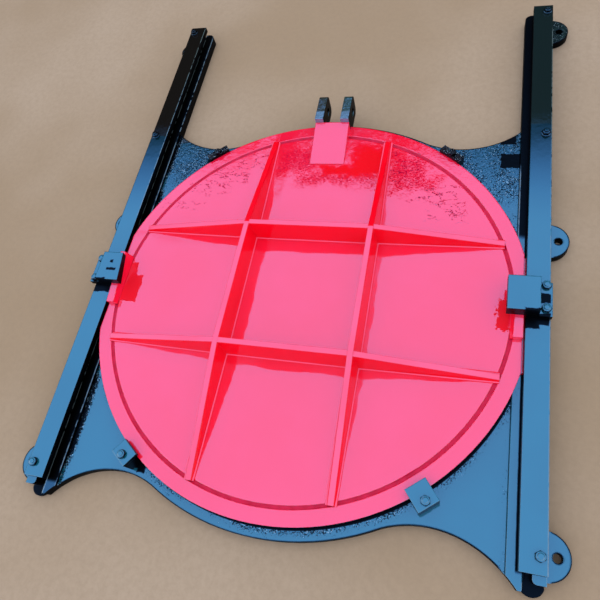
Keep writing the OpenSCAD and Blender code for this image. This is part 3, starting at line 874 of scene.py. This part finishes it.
nuts = [at(side * RAIL_X, z, BAR_Y) for side in SIDES for z in NUT_HEIGHTS]
heads = [at(side * RAIL_X, HEAD_HEIGHT, BAR_Y) for side in SIDES]
heads += [at(x, z, WEDGE_FOOT_Y) for x, z in WEDGE_BOLTS]
heads += [at(x, z, CLAMP_Y) for x, z in CLAMP_BOLTS]
small = [at(side * LUG_BOLT[0], LUG_BOLT[1], LUG_Y) for side in SIDES]
bolts("rail_nuts", nuts, "frame", CLAMP_PAINT, 0.010, 0.005, 0.0125)
bolts("bolt_heads", heads, "frame", CLAMP_PAINT)
bolts("lug_bolts", small, "leaf", LUG_PAINT)

# %% [markdown]
# ## The sides of the ribs
# A cast rib is wider at its root, so that it leaves the mould, and runs into the disc over a
# small rounded fillet, which catches the sky as a thin pale line. The root is a slim wedge
# on each side, built from a few stations along the rib. A bead half sunk at its foot gives
# the line. First the sides are measured on the model's own ribs, which are full height
# between their crossings and fall from there to their ends.

# %% Rib sides
RIB_TALL = LEAF_FRONT - front_of("upper_middle_rib")
RIB_END = 0.007
RIB_REACH = LEAF_R - 0.036
# Where the cross ribs meet the upright ones, and the other way round
RIB_LINES = {True: (-0.166, 0.172), False: (-0.165, 0.165)}
DRAFT = 0.0075


def rib_sides():
    """Each side of each rib: its stations along the rib with the rib's height, its place
    across, the way out of it, and whether the rib is upright."""
    sides = []
    for name in sorted(NODES):
        if not name.endswith("_rib"):
            continue
        low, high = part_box(name)
        upright = high.z - low.z > high.x - low.x
        span = (low.z - CENTRE_Z, high.z - CENTRE_Z) if upright else (low.x, high.x)
        across = (low.x, high.x) if upright else (low.z - CENTRE_Z, high.z - CENTRE_Z)
        reach = math.sqrt(RIB_REACH ** 2 - (sum(across) / 2) ** 2)
        near, far = RIB_LINES[upright]
        stations = []
        for place in sorted({span[0], span[1]} | {c for c in (near, far) if span[0] < c < span[1]}):
            line = near if place < 0 else far
            fall = max(0.0, (abs(place) - abs(line)) / (reach - abs(line)))
            stations.append((place, RIB_TALL + (RIB_END - RIB_TALL) * min(1.0, fall)))
        sides += [(stations, across[0], -1, upright), (stations, across[1], 1, upright)]
    return sides


def rib_point(along, across, y, upright):
    """A place from the distance along a rib, the place across it and the depth."""
    x, z = (across, along) if upright else (along, across)
    return (x, y, CENTRE_Z + z)


def root_width(tall):
    """How far the root stands out of the rib's side, less where the rib is low."""
    return DRAFT * (0.4 + 0.6 * tall / RIB_TALL)


print("rib sides:", len(rib_sides()))

# %% [markdown]
# ## Drafted roots
# Each wedge is as tall as the rib and reaches a little into the rib and into the disc, so
# that no gap shows. A station is four corners, and faces join one station to the next.

# %% Rib roots
ROOT_IN, ROOT_SUNK, ROOT_LIP, ROOT_TOP = 0.001, 0.0005, 0.0001, 0.97


def rib_roots(name):
    """Slim wedges on the ribs' sides: as tall as the rib and widest on the disc."""
    mesh = bmesh.new()
    for stations, across, way, upright in rib_sides():
        rows = []
        for along, tall in stations:
            section = [(-ROOT_IN, ROOT_SUNK), (root_width(tall), ROOT_SUNK),
                       (ROOT_LIP, -ROOT_TOP * tall), (-ROOT_IN, -ROOT_TOP * tall)]
            rows.append([mesh.verts.new(rib_point(along, across + way * out, LEAF_FRONT + y,
                                                  upright)) for out, y in section])
        for first, second in zip(rows, rows[1:]):
            for i in range(4):
                j = (i + 1) % 4
                mesh.faces.new((first[i], first[j], second[j], second[i]))
        mesh.faces.new(rows[0])
        mesh.faces.new(rows[-1])
    return built_piece(name, mesh, RIB_PAINT)


roots = rib_roots("rib_roots")
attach(roots, "leaf")
print("rib roots:", len(roots.data.polygons), "faces")

# %% [markdown]
# ## Beads at the ribs' feet
# The fillet's pale line follows the foot of each root, so a tree turns the foot lines into
# curves and sweeps a small circle along them. Half of the bead lies in the disc.

# %% Foot beads
BEAD_R, BEAD_LIFT = 0.0030, 0.0003


def bead_tree():
    """The tree that sweeps a circle along lines, and its inputs' identifiers."""
    tree = bpy.data.node_groups.new("beads_on_lines", "GeometryNodeTree")
    face = tree.interface
    face.new_socket("Lines", in_out="INPUT", socket_type="NodeSocketGeometry")
    radius = face.new_socket("Radius", in_out="INPUT", socket_type="NodeSocketFloat")
    radius.default_value = BEAD_R
    paint = face.new_socket("Paint", in_out="INPUT", socket_type="NodeSocketMaterial")
    face.new_socket("Beads", in_out="OUTPUT", socket_type="NodeSocketGeometry")
    ins = tree.nodes.new("NodeGroupInput").outputs
    outs = tree.nodes.new("NodeGroupOutput").inputs
    line = add(tree, "GeometryNodeMeshToCurve", Mesh=ins["Lines"])
    ring = add(tree, "GeometryNodeCurvePrimitiveCircle", Resolution=12, Radius=ins["Radius"])
    sweep = add(tree, "GeometryNodeCurveToMesh", Curve=line.outputs[0],
                Profile_Curve=ring.outputs[0], Fill_Caps=True)
    real = add(tree, "GeometryNodeRealizeInstances", Geometry=sweep.outputs[0])
    colour = add(tree, "GeometryNodeSetMaterial", Geometry=real.outputs[0],
                 Material=ins["Paint"])
    tree.links.new(colour.outputs[0], outs["Beads"])
    return tree, {"Radius": radius.identifier, "Paint": paint.identifier}


def rib_feet():
    """The foot line of each side of each rib, at the outer edge of its root."""
    points, edges = [], []
    for stations, across, way, upright in rib_sides():
        edges += [(len(points) + i, len(points) + i + 1) for i in range(len(stations) - 1)]
        points += [rib_point(along, across + way * root_width(tall), LEAF_FRONT - BEAD_LIFT,
                             upright) for along, tall in stations]
    return points, edges


BEADS, BEAD_IDS = bead_tree()
foot_points, foot_edges = rib_feet()
beads = plain_piece("rib_foot_beads", foot_points, foot_edges, BEADS, {
    BEAD_IDS["Radius"]: BEAD_R, BEAD_IDS["Paint"]: RIB_PAINT})
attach(beads, "leaf")
print("beads along", len(foot_edges), "feet")

# %% [markdown]
# ## The bottom of the rim's groove
# The groove inside the rim is too narrow for the sky to reach its bottom. A slim ring with a
# hollow top lies in it, painted a darker red than the disc as painted shade in the hollow. Its
# section is turned round the leaf's middle.

# %% Groove ring
GROOVE_IN, GROOVE_OUT, GROOVE_DEEP = 0.5065, 0.5155, 0.004
HOLLOW_Y, HOLLOW_SAG = 0.0012, 0.0024


def shaded_red(name):
    """A darker red, painted shade, which mirrors almost nothing."""
    made, tree, shader = start_material(name)
    cloud = noise_value(tree, object_vector(tree), 40.0, 3.0)
    # Painted shade: darker than the disc's red.
    colour = mix_colour(tree, remap(tree, cloud, 0.35, 0.65),
                        (0.56, 0.005, 0.055, 1), (0.68, 0.012, 0.085, 1))
    tree.links.new(colour, shader.inputs["Base Color"])
    tree.links.new(remap(tree, cloud, 0.3, 0.7, 0.35, 0.6), shader.inputs["Roughness"])
    shader.inputs["IOR"].default_value = 1.3
    return made


def ring_piece(name, inner, outer, floor_y, top_y, sag, paint, turns=256, steps=8):
    """A closed ring whose top face is hollow, in a groove between two radii."""
    section = [(inner, floor_y)]
    for i in range(steps + 1):
        part = i / steps
        dip = sag * (1.0 - (2.0 * part - 1.0) ** 2)
        section.append((inner + (outer - inner) * part, top_y + dip))
    section.append((outer, floor_y))
    count = len(section)
    mesh = bmesh.new()
    rows = []
    for k in range(turns):
        angle = 2 * math.pi * k / turns
        rows.append([mesh.verts.new((r * math.sin(angle), y, CENTRE_Z + r * math.cos(angle)))
                     for r, y in section])
    for k in range(turns):
        near, far = rows[k], rows[(k + 1) % turns]
        for i in range(count):
            j = (i + 1) % count
            mesh.faces.new((near[i], near[j], far[j], far[i]))
    return built_piece(name, mesh, paint)


groove = ring_piece("rim_groove_bottom", GROOVE_IN, GROOVE_OUT, LEAF_FRONT + GROOVE_DEEP,
                    LEAF_FRONT + HOLLOW_Y, HOLLOW_SAG, shaded_red("groove_shaded_red"))
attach(groove, "leaf")
print("groove ring faces", len(groove.data.polygons))

# %% [markdown]
# ## The floor as a stage
# The floor is plain pale concrete and lies just behind the back face. It is see-through from
# behind, and light that starts close to it, on the gate's back, passes through, so that the
# views from the wall's side are open and lit. Mirrors see it darker, a painted shade for the
# gate's shadow on it.

# %% Floor
FLOOR_Y, FLOOR_HALF = 0.0015, 9.0
LIT_THROUGH = 0.16


def floor_material():
    """Worn concrete, which lets light from the gate's back through."""
    made, tree, shader = start_material("concrete_floor")
    vector = object_vector(tree)
    broad = noise_value(tree, vector, 0.9, 3.0, 0.6)
    fine = noise_value(tree, vector, 60.0, 6.0, 0.75)
    base = mix_colour(tree, remap(tree, broad, 0.35, 0.65),
                      (0.355, 0.270, 0.195, 1), (0.435, 0.350, 0.282, 1))
    base = mix_colour(tree, remap(tree, fine, 0.3, 0.75, 0.0, 0.35), base, (0.29, 0.225, 0.17, 1))
    path = tree.nodes.new("ShaderNodeLightPath").outputs
    mirrored = path["Is Glossy Ray"]
    # Painted shade: mirrors see the floor darker.
    base = mix_colour(tree, mirrored, base, (0.09, 0.07, 0.055, 1))
    tree.links.new(base, shader.inputs["Base Color"])
    bump = add(tree, "ShaderNodeBump", Strength=0.25, Distance=0.002, Height=fine)
    tree.links.new(bump.outputs[0], shader.inputs["Normal"])
    shader.inputs["Roughness"].default_value = 0.8
    shader.inputs["IOR"].default_value = 1.2
    clear = tree.nodes.new("ShaderNodeBsdfTransparent")
    back = tree.nodes.new("ShaderNodeNewGeometry").outputs["Backfacing"]
    close = maths(tree, "LESS_THAN", path["Ray Length"], LIT_THROUGH)
    seen = maths(tree, "MAXIMUM", path["Is Camera Ray"], mirrored)
    hidden = maths(tree, "MAXIMUM", back, maths(tree, "MULTIPLY", close, inverse(tree, seen)))
    blend = add(tree, "ShaderNodeMixShader", i0=hidden, i1=shader.outputs[0], i2=clear.outputs[0])
    tree.links.new(blend.outputs[0], tree.nodes["Material Output"].inputs[0])
    return made


def make_floor(depth, half):
    """A square plane behind the gate that faces the front."""
    mesh = bpy.data.meshes.new("floor")
    mesh.from_pydata([(-half, depth, -half), (half, depth, -half), (half, depth, half),
                      (-half, depth, half)], [], [(0, 1, 2, 3)])
    mesh.materials.append(floor_material())
    made = bpy.data.objects.new("floor", mesh)
    scene.collection.objects.link(made)
    return made


floor = make_floor(FLOOR_Y, FLOOR_HALF)
print("floor normal", [round(v, 2) for v in floor.data.polygons[0].normal])

# %% [markdown]
# ## Sky
# Everything is lit by an even, neutral daylight at plain strength. The paint also mirrors a
# blue sky, which ends towards the gate's upper end, where something dark stands beyond it.
# Light Path tells the world which kind of ray asks, so the mirror can be blue while the
# light on the object stays neutral and the background plain and pale.

# %% Sky
SKY_FADES, SKY_ENDS = (0.80, 0.93), (0.925, 0.935)
SKY_BLUE, SKY_PALE = (0.42, 1.06, 2.28, 1), (1.4, 1.8, 2.3, 1)


def make_sky():
    """The world: even daylight, the sky that mirrors see, and a pale background."""
    world = bpy.data.worlds.new("yard_sky")
    scene.world = world
    world.use_nodes = True
    tree = world.node_tree
    tree.nodes.clear()
    way = tree.nodes.new("ShaderNodeTexCoord").outputs["Generated"]
    parts = add(tree, "ShaderNodeSeparateXYZ", Vector=way)
    rise = maths(tree, "MAXIMUM", maths(tree, "ABSOLUTE", parts.outputs["Y"]), 0.02)
    slope = maths(tree, "DIVIDE", parts.outputs["X"], rise)
    lean = maths(tree, "ADD", maths(tree, "DIVIDE", parts.outputs["Z"], rise),
                 maths(tree, "MULTIPLY", slope, -0.03))
    amount = maths(tree, "MULTIPLY", remap(tree, lean, *SKY_FADES, 1.0, 0.20),
                   remap(tree, lean, *SKY_ENDS, 1.0, 0.05))
    aside = maths(tree, "ABSOLUTE", slope)
    hue = mix_colour(tree, remap(tree, aside, 1.0, 2.2), SKY_BLUE, SKY_PALE)
    mirror = add(tree, "ShaderNodeBackground", Color=hue, Strength=amount)
    daylight = add(tree, "ShaderNodeBackground", Color=(1.0, 0.985, 0.97, 1), Strength=1.10)
    pale = add(tree, "ShaderNodeBackground", Color=(0.80, 0.80, 0.80, 1), Strength=1.0)
    path = tree.nodes.new("ShaderNodeLightPath").outputs
    blend = add(tree, "ShaderNodeMixShader", i0=path["Is Glossy Ray"],
                i1=daylight.outputs[0], i2=mirror.outputs[0])
    seen = add(tree, "ShaderNodeMixShader", i0=path["Is Camera Ray"],
               i1=blend.outputs[0], i2=pale.outputs[0])
    out = tree.nodes.new("ShaderNodeOutputWorld")
    tree.links.new(seen.outputs[0], out.inputs[0])


make_sky()
scene.view_settings.view_transform = "Standard"
print("sky ready")
